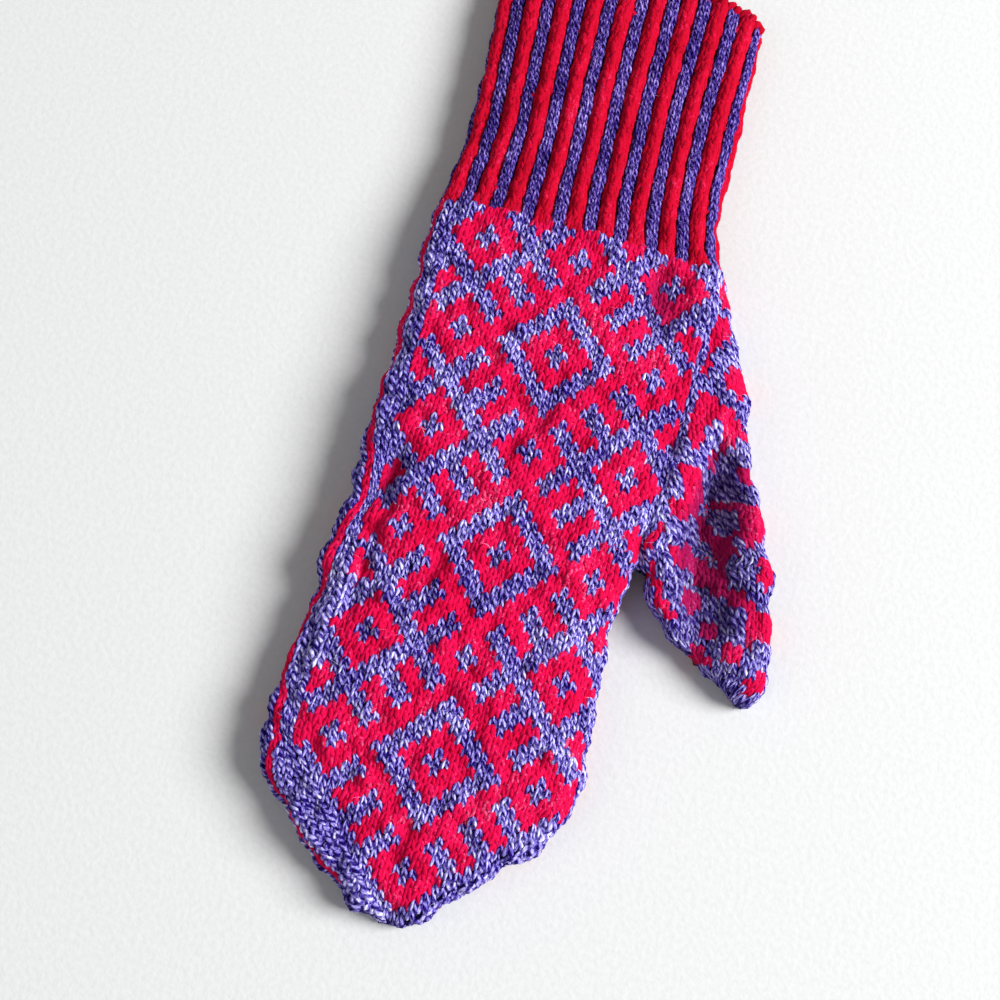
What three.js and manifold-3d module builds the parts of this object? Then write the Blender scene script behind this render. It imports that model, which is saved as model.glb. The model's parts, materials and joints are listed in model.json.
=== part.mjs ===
// Fair isle mitten lying flat: cast-on edge, ribbed cuff, hand with thumb gusset, thumb.
// Millimetres, +Z up. The cuff points along +Y, the fingertips along -Y and the thumb lies at +X.
// The tables give the outline about the centre column of stitches. At the end the whole mitten
// is moved so that the origin is the middle of its footprint, on the surface it rests on.
import * as THREE from 'three';
import Module from 'manifold-3d';

const wasm = await Module();
wasm.setup();

const RED_WOOL = 0xd4122f;
const BLUE_WOOL = 0x5b60bd;
const WOOL_ROUGHNESS = 0.92;

// Knit wall and the gap that neighbouring pieces keep
const WALL = 2.8;
const GAP = 0.3;

// Cross-section of a knit tube lying on a table: domed above, pressed flat below
const TOP_POWER = 2.7;
const BOTTOM_POWER = 4.5;
const BOTTOM_PRESS = 1.12;
const SIDE_LEVEL = 0.42;

// Corrugated rib: one red and one blue rib make a pair, and the first red rib's crest lies
// this far round from the left edge
const RIB_COUNT = 36;
const RIB_HEIGHT = 1.5;
const RIB_PHASE = 5.0;
const POINTS_PER_RIB = 4;

// The open end droops at its two sides, and the droop fades out this far down the cuff
const END_DROOP = 5.0;
const DROOP_POWER = 5;
const DROOP_FADE_START = 85;
const DROOP_MIDDLE = -8.1;
const DROOP_REACH = 42.7;

// Cast-on edge
const CUFF_TOP = 126.6;
const EDGE_DEPTH = 3.0;
const EDGE_ROUNDING = 1.0;
const EDGE_POINTS = 72;
const EDGE_BUMP = 0.5;
const EDGE_GAP = 0.5;

const CUFF_INNER_POINTS = 44;
const HAND_POINTS = 48;
const HAND_INNER_POINTS = 32;
const THUMB_POINTS = 26;
const THUMB_INNER_POINTS = 20;
const OVERRUN = 3;

// Sections of the tubes: [left x, left y, right x, right y, height]
const CUFF_COLUMNS = ['y', 'left', 'right', 'top'];
const CUFF_ROWS = [
  [129.6, -50.8, 34.6, 14.5],
  [118.0, -50.1, 34.9, 16.0],
  [106.0, -49.0, 35.2, 16.8],
  [93.0, -47.7, 35.6, 17.0],
  [76.0, -46.8, 36.4, 17.0],
  [60.0, -46.0, 35.6, 17.0],
  [50.0, -46.8, 36.9, 17.0],
  [40.6, -47.4, 41.3, 17.2],
];

const HAND_ROWS = [
  [40.6, -47.4, 41.3, 17.2],
  [36.0, -47.7, 43.0, 17.4],
  [26.0, -47.9, 43.8, 17.8],
  [10.0, -47.0, 43.8, 18.4],
  [-8.0, -46.7, 43.4, 19.0],
  [-24.0, -46.9, 42.6, 19.2],
  [-37.0, -47.2, 41.2, 19.2],
  [-47.6, -46.2, 39.2, 19.2],
  [-53.0, -46.2, 38.2, 19.0],
  [-59.4, -46.4, 38.3, 18.8],
  [-65.3, -47.8, 36.9, 18.6],
  [-71.0, -48.1, 35.7, 18.4],
  [-78.0, -48.3, 36.9, 18.2],
  [-90.0, -47.8, 37.5, 18.0],
  [-104.0, -49.2, 39.7, 17.6],
  [-116.6, -49.4, 40.2, 17.0],
  [-125.5, -49.7, 38.8, 16.4],
  [-131.2, -49.2, 36.2, 15.8],
  [-135.9, -46.5, 33.6, 15.2],
  [-141.4, -41.7, 28.4, 14.4],
  [-146.9, -35.6, 22.1, 13.5],
  [-152.3, -28.5, 17.2, 12.5],
  [-157.6, -21.4, 13.6, 11.2],
  [-161.6, -16.4, 10.0, 9.8],
  [-164.6, -12.0, 5.6, 8.2],
  [-166.4, -7.6, 1.6, 6.4],
  [-167.0, -5.0, -1.2, 4.6],
];

const THUMB_COLUMNS = ['leftX', 'leftY', 'rightX', 'rightY', 'top', 'innerLeft'];
const GUSSET_ROWS = [
  [36.5, 37.0, 42.4, 37.0, 9.0, 40],
  [37.0, 30.0, 46.4, 30.0, 11.0, 38],
  [37.0, 22.0, 49.6, 22.0, 12.6, 36],
  [37.0, 12.0, 54.4, 12.0, 14.2, 34],
  [37.0, 4.0, 58.6, 4.0, 15.4, 33],
  [37.0, -6.0, 60.6, -6.0, 16.2, 33],
  [37.0, -14.0, 62.9, -14.0, 16.8, 33],
  [37.0, -22.0, 67.0, -22.0, 17.0, 33],
  [37.2, -30.0, 71.5, -30.0, 17.0, 34],
  [37.6, -38.0, 74.0, -38.0, 17.0, 36],
  [38.4, -46.0, 77.6, -44.6, 17.0, 41],
  [40.1, -53.8, 78.3, -50.4, 16.8, 42.9],
];
const THUMB_ROWS = [
  [40.1, -53.8, 78.3, -50.4, 16.8, 42.9],
  [42.4, -59.2, 79.9, -57.0, 16.4, 45.2],
  [46.2, -64.2, 81.4, -63.2, 15.8, 49.0],
  [52.2, -69.4, 82.4, -69.4, 15.0, 55.0],
  [59.0, -73.8, 82.8, -74.4, 13.8, 61.8],
  [66.0, -77.2, 82.7, -78.4, 12.4, 68.8],
  [72.0, -80.2, 81.8, -81.6, 10.4, 74.8],
  [75.8, -82.6, 80.0, -83.6, 7.6, 77.0],
  [77.0, -83.6, 78.9, -84.1, 5.6, 77.8],
];

// Dents and folds pressed into the upper side: centre, half length along and across, depth,
// and the direction of the long way in degrees from the Y axis towards the +X side
const DENT_COLUMNS = ['x', 'y', 'long', 'wide', 'depth', 'lean'];
const DENTS = [
  [-35.5, -64.0, 24.0, 4.2, 2.4, 0],
  [-3.5, -19.5, 10.0, 6.5, 1.8, -20],
  [33.5, 27.5, 10.0, 6.0, 2.2, 10],
  [58.5, -38.0, 26.0, 8.5, 4.2, 14],
  [70.5, -68.0, 14.0, 6.5, 2.2, 20],
  [14.0, -77.0, 12.0, 9.0, 1.2, 50],
];

function named(columns, rows) {
  return rows.map((row) => Object.fromEntries(columns.map((key, i) => [key, row[i]])));
}

// A straight row of stitches across the tube, from its left edge to its right edge
function acrossRow({ y, left, right, top }) {
  return { leftX: left, leftY: y, rightX: right, rightY: y, top, innerLeft: left + WALL };
}

const cuffRows = named(CUFF_COLUMNS, CUFF_ROWS).map(acrossRow);
const handRows = named(CUFF_COLUMNS, HAND_ROWS).map(acrossRow);
const gussetRows = named(THUMB_COLUMNS, GUSSET_ROWS);
const thumbRows = named(THUMB_COLUMNS, THUMB_ROWS);
const dents = named(DENT_COLUMNS, DENTS);

function mixRows(a, b, t) {
  const keys = Object.keys(a);
  return Object.fromEntries(keys.map((key) => [key, THREE.MathUtils.lerp(a[key], b[key], t)]));
}

function movedAlongY(row, dy) {
  return { ...row, leftY: row.leftY + dy, rightY: row.rightY + dy };
}

// The row of a table at height y, by straight steps between its rows
function rowAt(rows, y) {
  const next = rows.findIndex((row) => row.leftY <= y);
  if (next <= 0) return movedAlongY(rows[0], y - rows[0].leftY);
  const span = rows[next].leftY - rows[next - 1].leftY;
  return mixRows(rows[next - 1], rows[next], (y - rows[next - 1].leftY) / span);
}

// Closed outline of the tube at one row, from the left edge over the top and back below
class SectionCurve extends THREE.Curve {
  constructor(row, inset) {
    super();
    this.arcLengthDivisions = 480;
    this.row = row;
    this.inset = inset;
    const reach = new THREE.Vector2(row.rightX - row.leftX, row.rightY - row.leftY);
    const start = inset > 0 ? row.innerLeft - row.leftX : 0;
    this.half = (reach.length() - start - inset) / 2;
    this.direction = reach.clone().normalize();
    this.centre = new THREE.Vector2(row.leftX, row.leftY);
    this.centre.addScaledVector(this.direction, start + this.half);
    this.side = row.top * SIDE_LEVEL;
  }

  getPoint(t, target = new THREE.Vector3()) {
    const angle = Math.PI * (1 - 2 * t);
    const across = Math.cos(angle);
    const upward = Math.sin(angle);
    const power = 2 / (upward >= 0 ? TOP_POWER : BOTTOM_POWER);
    const offset = this.half * Math.sign(across) * Math.abs(across) ** power;
    const lift = Math.abs(upward) ** power;
    const domed = this.side + (this.row.top - this.inset - this.side) * lift;
    const pressed = this.side - (this.side - this.inset) * BOTTOM_PRESS * lift;
    const z = upward >= 0 ? domed : Math.max(this.inset, pressed);
    return target.set(
      this.centre.x + this.direction.x * offset,
      this.centre.y + this.direction.y * offset,
      z,
    );
  }
}

function dentDepth(x, y) {
  let depth = 0;
  for (const dent of dents) {
    const lean = THREE.MathUtils.degToRad(dent.lean);
    const dx = x - dent.x;
    const dy = y - dent.y;
    const along = (-dy * Math.cos(lean) + dx * Math.sin(lean)) / dent.long;
    const across = (dx * Math.cos(lean) + dy * Math.sin(lean)) / dent.wide;
    depth += dent.depth * Math.exp(-along * along - across * across);
  }
  return depth;
}

// Evenly spaced points round one row, with the dents pressed in and an optional relief that
// stands out from the tube by relief(distance round, whole way round)
function sectionRing(row, count, inset, relief) {
  const curve = new SectionCurve(row, inset);
  const round = curve.getLength();
  const points = [];
  for (let i = 0; i < count; i += 1) {
    const t = i / count;
    const point = curve.getPointAt(t);
    if (relief) {
      const tangent = curve.getTangentAt(t);
      const run = tangent.x * curve.direction.x + tangent.y * curve.direction.y;
      const height = relief(t * round, round);
      point.x += -tangent.z * curve.direction.x * height;
      point.y += -tangent.z * curve.direction.y * height;
      point.z = Math.max(inset, point.z + run * height);
    }
    const raised = THREE.MathUtils.smoothstep(point.z, curve.side, row.top);
    point.z -= dentDepth(point.x, point.y) * raised;
    points.push(point);
  }
  return points;
}

// Triangles that fill one ring: each point of the upper side is joined to the one below it
function endFaces(count, start) {
  const faces = [[start, start + 1, start + count - 1]];
  for (let i = 1; i < count / 2; i += 1) {
    const above = start + i;
    const below = start + count - i;
    faces.push([above, above + 1, below]);
    if (above + 1 < below - 1) faces.push([above + 1, below - 1, below]);
  }
  return faces;
}

// Closed tube through the rings, given from the +Y end on, with its two ends filled
function loftSolid(rings) {
  const count = rings[0].length;
  const triangles = [];
  for (let k = 0; k + 1 < rings.length; k += 1) {
    for (let i = 0; i < count; i += 1) {
      const a = k * count + i;
      const b = k * count + ((i + 1) % count);
      triangles.push(a, b + count, b, a, a + count, b + count);
    }
  }
  const last = (rings.length - 1) * count;
  triangles.push(...endFaces(count, 0).flat());
  triangles.push(...endFaces(count, last).flatMap((face) => face.reverse()));
  const vertices = new Float32Array(rings.flat().flatMap((p) => [p.x, p.y, p.z]));
  const mesh = new wasm.Mesh({
    numProp: 3,
    vertProperties: vertices,
    triVerts: new Uint32Array(triangles),
  });
  return new wasm.Manifold(mesh);
}

function tubeSolid(rows, count, inset, relief) {
  return loftSolid(rows.map((row) => sectionRing(row, count, inset, relief)));
}

// Ribs stand out as rounded cords with a groove between each two
function ribRelief(distance, round) {
  const pitch = round / RIB_COUNT;
  const fromCrest = (distance - RIB_PHASE) / pitch;
  return RIB_HEIGHT * (Math.sqrt(Math.abs(Math.cos(Math.PI * fromCrest))) - 1);
}

function bumpRelief(distance, round) {
  return EDGE_BUMP * Math.cos((Math.PI * EDGE_POINTS * distance) / round);
}

// Near the open end, the two sides of each row lie lower down the cuff than its middle
function drooped(rings) {
  for (const point of rings.flat()) {
    const fade = THREE.MathUtils.smoothstep(point.y, DROOP_FADE_START, CUFF_TOP);
    const sideways = Math.abs((point.x - DROOP_MIDDLE) / DROOP_REACH) ** DROOP_POWER;
    point.y -= END_DROOP * fade * sideways;
  }
  return rings;
}

function cuffSolid() {
  const levels = [CUFF_TOP, 119, 109, 97, 84, 71, 60, 50.5, CUFF_ROWS.at(-1)[0] + GAP / 2];
  const rows = levels.map((y) => rowAt(cuffRows, y));
  const count = RIB_COUNT * POINTS_PER_RIB;
  const outer = loftSolid(drooped(rows.map((row) => sectionRing(row, count, 0, ribRelief))));
  const innerLevels = [CUFF_TOP + OVERRUN, 112, 93, 76, 60, 50, CUFF_ROWS.at(-1)[0] - OVERRUN];
  const inner = innerLevels.map((y) => rowAt([...cuffRows, ...handRows.slice(1)], y));
  return outer.subtract(tubeSolid(inner, CUFF_INNER_POINTS, WALL));
}

function castOnSolid() {
  const low = CUFF_TOP + EDGE_GAP;
  const steps = [
    [EDGE_DEPTH, EDGE_ROUNDING],
    [EDGE_DEPTH * 0.72, 0.1],
    [EDGE_DEPTH * 0.28, 0.1],
    [0, EDGE_ROUNDING],
  ];
  const rings = steps.map(([rise, shrink]) => {
    const row = rowAt(cuffRows, low + rise);
    const relief = (distance, round) => bumpRelief(distance, round) - shrink;
    return sectionRing(row, EDGE_POINTS, 0, relief);
  });
  const inner = [low + EDGE_DEPTH + OVERRUN, low - OVERRUN].map((y) => rowAt(cuffRows, y));
  return loftSolid(drooped(rings)).subtract(tubeSolid(inner, CUFF_INNER_POINTS, WALL));
}

function handSolid() {
  const outerRows = [rowAt(handRows, HAND_ROWS[0][0] - GAP / 2), ...handRows.slice(1)];
  const lastGusset = mixRows(gussetRows.at(-1), gussetRows.at(-2), 0.02);
  const gusset = [...gussetRows.slice(0, -1), lastGusset];
  const outer = tubeSolid(outerRows, HAND_POINTS, 0).add(tubeSolid(gusset, THUMB_POINTS, 0));
  const innerRows = [movedAlongY(handRows[0], OVERRUN), ...handRows.slice(1, -4)];
  const gussetHollow = [...gussetRows.slice(2), movedAlongY(gussetRows.at(-1), -OVERRUN)];
  return outer
    .subtract(tubeSolid(innerRows, HAND_INNER_POINTS, WALL))
    .subtract(tubeSolid(gussetHollow, THUMB_INNER_POINTS, WALL));
}

function thumbSolid() {
  const base = mixRows(thumbRows[0], thumbRows[1], 0.04);
  const outer = tubeSolid([base, ...thumbRows.slice(1)], THUMB_POINTS, 0);
  const hollow = [movedAlongY(thumbRows[0], OVERRUN), ...thumbRows.slice(1, -3)];
  return outer.subtract(tubeSolid(hollow, THUMB_INNER_POINTS, WALL));
}

function knitMesh(name, solid, color) {
  const { vertProperties, triVerts, numProp } = solid.getMesh();
  const position = new Float32Array((vertProperties.length / numProp) * 3);
  for (let i = 0; i < position.length; i += 1) {
    position[i] = vertProperties[Math.floor(i / 3) * numProp + (i % 3)];
  }
  const geometry = new THREE.BufferGeometry();
  geometry.setAttribute('position', new THREE.BufferAttribute(position, 3));
  geometry.setIndex(new THREE.BufferAttribute(new Uint32Array(triVerts), 1));
  const material = new THREE.MeshStandardMaterial({
    color,
    roughness: WOOL_ROUGHNESS,
    metalness: 0,
    flatShading: true,
  });
  const mesh = new THREE.Mesh(geometry, material);
  mesh.name = name;
  return mesh;
}

const mitten = new THREE.Group();
mitten.add(knitMesh('cast_on_edge', castOnSolid(), RED_WOOL));
mitten.add(knitMesh('ribbed_cuff', cuffSolid(), RED_WOOL));
mitten.add(knitMesh('hand', handSolid(), BLUE_WOOL));
mitten.add(knitMesh('thumb', thumbSolid(), BLUE_WOOL));

const footprint = new THREE.Box3().setFromObject(mitten);
const middle = footprint.getCenter(new THREE.Vector3());
mitten.position.set(-middle.x, -middle.y, -footprint.min.z);

export default mitten;
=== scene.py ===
"""Fair isle mitten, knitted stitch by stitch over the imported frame.

The tables are in millimetres in the knit frame: x = 0 is the centre column of stitches, y = 0 the
centre row of a large diamond, the cuff points along +Y, the thumb lies at +X and z = 0 is the table.
"Down" is the distance from y = 0 towards the fingertips, so it is -y. "Round" is a distance along one
row of stitches, from the left edge over the upper side to the right edge and back underneath.
Blender gets metres in the row frame.
"""

import json
import math

import bpy
import numpy as np
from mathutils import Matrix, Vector
from mathutils.kdtree import KDTree

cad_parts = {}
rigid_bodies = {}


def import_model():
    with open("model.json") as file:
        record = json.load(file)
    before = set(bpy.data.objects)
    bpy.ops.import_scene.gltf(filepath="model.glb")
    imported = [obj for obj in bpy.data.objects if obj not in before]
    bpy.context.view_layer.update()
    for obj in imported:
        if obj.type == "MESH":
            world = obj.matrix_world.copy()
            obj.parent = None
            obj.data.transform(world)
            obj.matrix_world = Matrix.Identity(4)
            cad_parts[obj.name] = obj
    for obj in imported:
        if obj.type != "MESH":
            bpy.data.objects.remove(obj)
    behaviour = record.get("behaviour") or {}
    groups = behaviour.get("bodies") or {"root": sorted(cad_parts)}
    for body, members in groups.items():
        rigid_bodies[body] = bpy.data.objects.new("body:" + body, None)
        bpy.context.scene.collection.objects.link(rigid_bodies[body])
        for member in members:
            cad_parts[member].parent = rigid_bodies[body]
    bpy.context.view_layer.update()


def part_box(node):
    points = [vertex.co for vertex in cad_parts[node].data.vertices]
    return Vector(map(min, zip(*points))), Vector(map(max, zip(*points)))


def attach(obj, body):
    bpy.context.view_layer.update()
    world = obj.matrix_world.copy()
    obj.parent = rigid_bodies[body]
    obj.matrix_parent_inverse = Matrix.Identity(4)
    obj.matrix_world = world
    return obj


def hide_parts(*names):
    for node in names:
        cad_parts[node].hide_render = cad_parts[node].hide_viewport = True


MM = 0.001
TURN = 2 * math.pi
LEAST_LENGTH = 1e-9
STITCH_SEED = 11

# Cross-section of a knit tube: domed above, pressed flat below
CUFF_TOP_POWER = 2.7
HAND_TOP_POWER = 3.5
BOTTOM_POWER = 4.5
BOTTOM_PRESS = 1.12
SIDE_LEVEL = 0.42
LEAST_HALF_WIDTH = 0.4

# Corrugated rib: 36 ribs of two stitches, red and blue in turn
RIB_COUNT = 36
RIB_HEIGHT = 2.9
RIB_POWER = 0.5
RED_RIB_FILL = 0.94
BLUE_RIB_FILL = 0.72
BLUE_DIMPLE = 0.55
BLUE_DIMPLE_WIDTH = 0.13
BLUE_RIB_DROP = 0.3
TOP_RIBS = 17
CUFF_ROWS = 35
CUFF_TOP = 126.6
CUFF_END = 38.6
RIB_FADE_START = 47.0
CUFF_POWER_FADE = 8
CUFF_PITCH = (CUFF_TOP - CUFF_END) / CUFF_ROWS
# The cuff's tube reaches a little beyond its rows of stitches
CUFF_DOWNS = (-CUFF_TOP - 2.6, -CUFF_END + 0.6)

# The open end droops at its two sides
END_DROOP = 5.0
DROOP_POWER = 5
DROOP_FADE_START = 85
DROOP_MIDDLE = -8.1
DROOP_REACH = 42.7

# Hand: stitch columns, counted from the front panel's centre, and rows from y = 0 down
HAND_TOP = 40.0
ROW_PITCH = 2.537
HAND_STITCHES = 76
FIRST_COLUMN, LAST_COLUMN = -58, 17
HAND_COLUMNS = np.arange(FIRST_COLUMN, LAST_COLUMN + 1)
FAR_COLUMN = 60
CENTRE_X = 0.5
FIRST_ROW = -15
LAST_ROW = 65
PANEL_HALF = 16.5
TIGHTNESS = 0.972
BAND_STITCHES = 5
BAND_END = PANEL_HALF + BAND_STITCHES
# Columns of the red lines in the side bands, front and back
LINE_COLUMN, BACK_LINE_COLUMN = 19, -57

# Tip: the panel loses a stitch a row, and bands of slanting columns run along its edges
TIP_START_ROW = 50
# From this row on, only the last diamond shows; its stitches end at this sum of column and row
LAST_DIAMOND_START = 61
LAST_DIAMOND_ROW = 64
TIP_PANEL_PITCH = 2.43
TIP_STITCH = 2.15
TIP_ROW_PITCH = 2.25
TIP_COLUMNS = 8
TIP_LINE_ENDS = {-1: 63, 1: 59}
TIP_DRIFT = 0.45
TIP_PLUMPNESS = 1.15
TIP_LINE_WIDTH = 0.7
TIP_LINE_BEND = 16
TIP_OVERLAP = 0.3
TIP_PANEL_MARGIN = 0.2
TIP_FIRST_DOWN = (TIP_START_ROW + 0.75) * ROW_PITCH
TIP_END_GAP = 0.6
LEAN_REACH = 4.0
# How far the red lines lie inside the left and the right edge of the tip, in mm round
TIP_LINE_INSETS = {-1: 4.0, 1: -4.0}

# How far the left band's line is shifted onto the upper side at distances down, in mm
LINE_SHIFTS = np.array([
    (34, 0.0), (43, 3.2), (56, 3.8), (65, 1.2), (72, 0.0), (86, 0.0),
    (93, -3.5), (106, -3.0), (117, 1.2), (126, 1.4),
])
LINE_SHIFT_STITCHES = 2.5

# Thumb: it leaves the hand after this row, and both tubes overlap the hand's there
THUMB_START_ROW = 20
THUMB_STITCH = 2.45
PALM_END = (THUMB_START_ROW + 0.8) * ROW_PITCH
FINGER_START = (THUMB_START_ROW - 0.4) * ROW_PITCH
GUSSET_COLUMNS = np.arange(-20, 22) + 0.5
THUMB_COLUMNS = np.arange(-30, 30) + 0.5
GUSSET_OVERLAP = 0.7

# How the outlines of the hand and the gusset are joined
GUSSET_MARGIN = 0.2
JOIN_INSET = 0.3
JOIN_SAMPLES = 200
JOIN_SOFTNESS = 3

# Chart, counted along its two diagonals from a diamond's centre: repeat, red rings and reaches
REPEAT = 24
INNER_RING, OUTER_RING = (2, 4), (8, 10)
LARGE_REACH, SMALL_REACH = 10, 7

# Yarn
YARN_DEPTH = 0.75
LEG_RING_ANGLES = np.radians([-105, -52, 0, 52, 105])
# One leg of a stitch: rows down, stitches aside, height in mm and thickness
BLUE_RADIUS = 0.67
BLUE_LEG = np.array([
    (-0.72, 0.05, -0.40, 0.62), (-0.38, 0.12, 0.14, 0.95), (0.02, 0.25, 0.26, 1.06),
    (0.40, 0.37, 0.06, 0.97), (0.76, 0.44, -0.75, 0.60),
])
RED_RADIUS = 0.70
RED_LEG = np.array([
    (-0.66, 0.07, 0.02, 0.84), (-0.34, 0.14, 0.18, 1.02), (0.00, 0.25, 0.21, 1.06),
    (0.34, 0.36, 0.17, 1.02), (0.66, 0.42, -0.05, 0.84),
])
# Height of a strand as a share of its width: the red ones are felted flat
BLUE_FLATNESS = 1.0
RED_FLATNESS = 0.62
# In the ribs: blue legs stand close in pairs, red legs are felted together
BLUE_RIB_RADIUS = 0.62
BLUE_RIB_LEG = BLUE_LEG * (1.0, 0.9, 1.0, 1.0)
RED_RIB_RADIUS = 0.92
RED_RIB_LEG = RED_LEG * (1.35, 1.0, 0.6, 1.0) - (0.0, 0.0, 0.25, 0.0)
RED_RIB_FLATNESS = 0.9

# Distance between the two legs of a stitch of normal size, and how far legs thin or thicken
LEG_SPACING = 1.2
LEG_FIT_LIMITS = (0.78, 1.45)

# Spread of a leg and of a stitch aside, of a stitch down, and of a leg's height and thickness
LEG_WOBBLE, STITCH_WOBBLE, DOWN_WOBBLE = 0.035, 0.04, 0.03
HEIGHT_WOBBLE, THICKNESS_WOBBLE = 0.07, 0.05

# Loose fibres that stand off the yarn
FIBRE_SHARE = 1.3
FIBRE_WIDTH = 0.07
FIBRE_LENGTHS = (0.9, 3.0)
FIBRE_POINTS = 4
FIBRE_HEIGHT = 0.45
FIBRE_RISES = (0.1, 0.55)
FIBRE_BEND = 0.35
FIBRE_TAPER = 1.3
FIBRE_PEAK = 1.2
# A direction that no part of the knit faces
SKEW = (0.31, 0.95, 0.11)

# Lowest height above the table of strands, fibres and the sleeve's two sides
STRAND_FLOOR, FIBRE_FLOOR, SHELL_FLOOR, INNER_FLOOR = 0.02, 0.03, 0.1, 0.9

# Sleeve under the stitches: every second point of the tube, and its depths
SHELL_STEP = 2
RED_SHELL_DEPTH, BLUE_SHELL_DEPTH, INNER_DEPTH = -0.24, 0.35, 2.0
INNER_SHARE = 0.2
END_BULGE = 0.4
CAP_SHARES = (0.6, 0.05)

# Cast-on edge: slanted loops laid over the end of the cuff, as depth into the wall, rise above
# the last row of ribs, slant in stitches and thickness
EDGE_LOOPS = 72
EDGE_RADIUS = 1.15
EDGE_LOOP = np.array([
    (0.55, -1.1, -0.55, 0.75), (-0.05, 0.2, -0.35, 1.0), (0.0, 1.7, -0.1, 1.08),
    (0.8, 2.7, 0.15, 1.05), (1.9, 2.2, 0.35, 0.95), (2.6, 0.6, 0.5, 0.75),
])
EDGE_SPOKES = 8
EDGE_RISE = 0.85
EDGE_LIFT = 0.2
EDGE_WOBBLE = 0.04

# Uneven tension: gentle waves over the whole knit, wavelengths and height in mm
WAVE_SEED = 5
WAVE_COUNT = 18
WAVE_SHORTEST, WAVE_LONGEST = 6.5, 17.0
WAVE_TILT = 0.4
WAVE_HEIGHT = 0.17
RIB_WAVE_SHARE = 0.5

# Grids of the tubes, and how far they are softened along their length in mm
OUTLINE_POINTS, ROUND_POINTS = 720, 420
LEVEL_STEP = 0.6
SMOOTH_SPAN = 3
SIDE_SOFTNESS = 3.0
CUFF_SOFTNESS, PALM_SOFTNESS, FINGER_SOFTNESS, THUMB_SOFTNESS = 5, 1.5, 2, 1.5

# Sections of the cuff and the hand: y, left edge, right edge and top
CUFF_TABLE = [
    (129.6, -50.8, 34.6, 14.5), (118.0, -50.1, 34.9, 16.0), (106.0, -49.0, 35.2, 16.8),
    (93.0, -47.7, 35.6, 17.0), (76.0, -46.8, 36.4, 17.0), (60.0, -46.0, 35.6, 17.0),
    (50.0, -46.8, 37.2, 17.0), (46.0, -47.1, 39.9, 17.1), (40.6, -47.4, 41.6, 17.2),
]
HAND_TABLE = [
    (40.6, -47.4, 41.3, 17.2), (36.0, -47.7, 43.0, 17.4), (26.0, -47.9, 43.8, 17.8),
    (10.0, -47.0, 43.8, 18.4), (-8.0, -46.7, 43.4, 19.0), (-24.0, -46.9, 42.6, 19.2),
    (-37.0, -47.2, 41.2, 19.2), (-47.6, -46.2, 39.2, 19.2), (-53.0, -46.2, 38.2, 19.0),
    (-59.4, -46.4, 38.3, 18.8), (-65.3, -47.8, 36.9, 18.6), (-71.0, -48.1, 35.7, 18.4),
    (-78.0, -48.3, 36.9, 18.2), (-90.0, -47.8, 37.5, 18.0), (-104.0, -49.2, 39.7, 17.6),
    (-116.6, -49.4, 40.2, 17.0), (-125.5, -49.7, 38.8, 16.4), (-131.2, -49.2, 36.2, 15.8),
    (-135.9, -46.5, 33.6, 15.2), (-141.4, -41.7, 28.4, 14.4), (-146.9, -35.6, 22.1, 13.5),
    (-152.3, -28.5, 17.2, 12.5), (-157.6, -21.4, 13.6, 11.2), (-161.6, -16.4, 10.0, 9.8),
    (-164.6, -12.0, 5.6, 8.2), (-166.4, -7.6, 1.6, 6.4), (-167.0, -5.0, -1.2, 4.6),
]
# Sections of the gusset and the thumb: left x and y, right x and y, and top
GUSSET_SECTIONS = np.array([
    (36.5, 42.0, 41.6, 42.0, 9.0), (36.8, 38.0, 43.8, 38.0, 10.0), (37.0, 34.0, 45.8, 34.0, 11.0),
    (37.0, 30.0, 46.9, 30.0, 11.8), (37.0, 22.0, 49.8, 22.0, 12.8), (37.0, 12.0, 54.4, 12.0, 14.2),
    (37.0, 4.0, 58.6, 4.0, 15.4), (37.0, -6.0, 60.6, -6.0, 16.2), (37.0, -14.0, 62.9, -14.0, 16.8),
    (37.0, -22.0, 67.0, -22.0, 17.0), (37.2, -30.0, 71.5, -30.0, 17.0), (37.6, -38.0, 74.0, -38.0, 17.0),
    (38.4, -46.0, 77.6, -44.6, 17.0), (40.1, -53.8, 78.3, -50.4, 16.8),
])
THUMB_SECTIONS = np.array([
    (38.4, -46.0, 77.6, -44.6, 17.0), (40.3, -53.0, 78.3, -50.4, 16.8), (43.4, -58.6, 79.9, -57.0, 16.4),
    (47.6, -63.8, 81.4, -63.0, 15.8), (53.4, -69.0, 82.4, -69.2, 15.0), (60.2, -72.8, 82.8, -73.8, 13.8),
    (66.6, -75.6, 82.7, -77.4, 12.4), (71.2, -78.0, 82.2, -80.0, 10.8), (73.6, -80.4, 81.0, -81.8, 8.6),
    (75.4, -82.2, 79.2, -82.8, 6.0),
])
# Crests of the first and the last red rib of the upper side: y and the two x
CREST_TABLE = np.array([
    (130.0, -48.0, 29.0), (109.8, -46.6, 28.8), (86.5, -44.2, 28.2),
    (66.7, -42.5, 28.9), (51.7, -43.0, 30.3), (40.6, -43.6, 33.0),
])

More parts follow.
